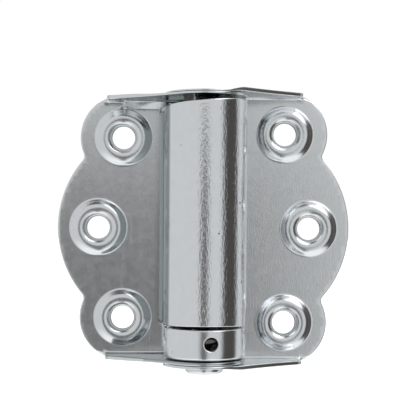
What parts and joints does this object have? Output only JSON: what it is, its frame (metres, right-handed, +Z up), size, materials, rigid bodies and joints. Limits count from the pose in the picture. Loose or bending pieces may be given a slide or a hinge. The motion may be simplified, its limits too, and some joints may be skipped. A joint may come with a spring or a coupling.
{
  "type": "spring loaded door hinge",
  "caption": "Full surface screen door hinge of pressed zinc plated steel, with scalloped leaves, raised screw bosses, a wrapped spring barrel and a tension collar below it.",
  "frame": {"origin": "on the pin's axis at the middle of the hinge's height", "axes": "+Z up along the pin, +X towards the swing leaf, +Y towards the surface the leaves are screwed to, so the barrel faces -Y"},
  "size_m": [0.0698, 0.0204, 0.0663],
  "materials": {
    "barrel_leaf": "bright zinc plate on pressed sheet steel",
    "swing_leaf": "bright zinc plate on pressed sheet steel",
    "tension_collar": "bright zinc plate on drawn steel",
    "pintle_pin": "bright zinc plate on a steel rivet",
    "torsion_spring": "bare spring steel wire"
  },
  "bodies": {
    "fixed_side": {"barrel_leaf": "barrel_leaf", "pintle_pin": "pintle_pin", "torsion_spring": "torsion_spring"},
    "swing_side": {"swing_leaf": "swing_leaf"},
    "collar": {"tension_collar": "tension_collar"}
  },
  "joints": [
    {"name": "leaf_swing", "type": "hinge", "parent": "fixed_side", "child": "swing_side", "pos_m": [0, 0, 0], "axis": [0, 0, -1], "range_deg": [0, 180], "stiffness_Nm_per_rad": 0.26},
    {"name": "collar_turn", "type": "hinge", "parent": "fixed_side", "child": "collar", "pos_m": [0, 0, -0.0264], "axis": [0, 0, -1], "range_deg": [0, 270], "stiffness_Nm_per_rad": 0.26, "deforming": ["torsion_spring"]}
  ]
}
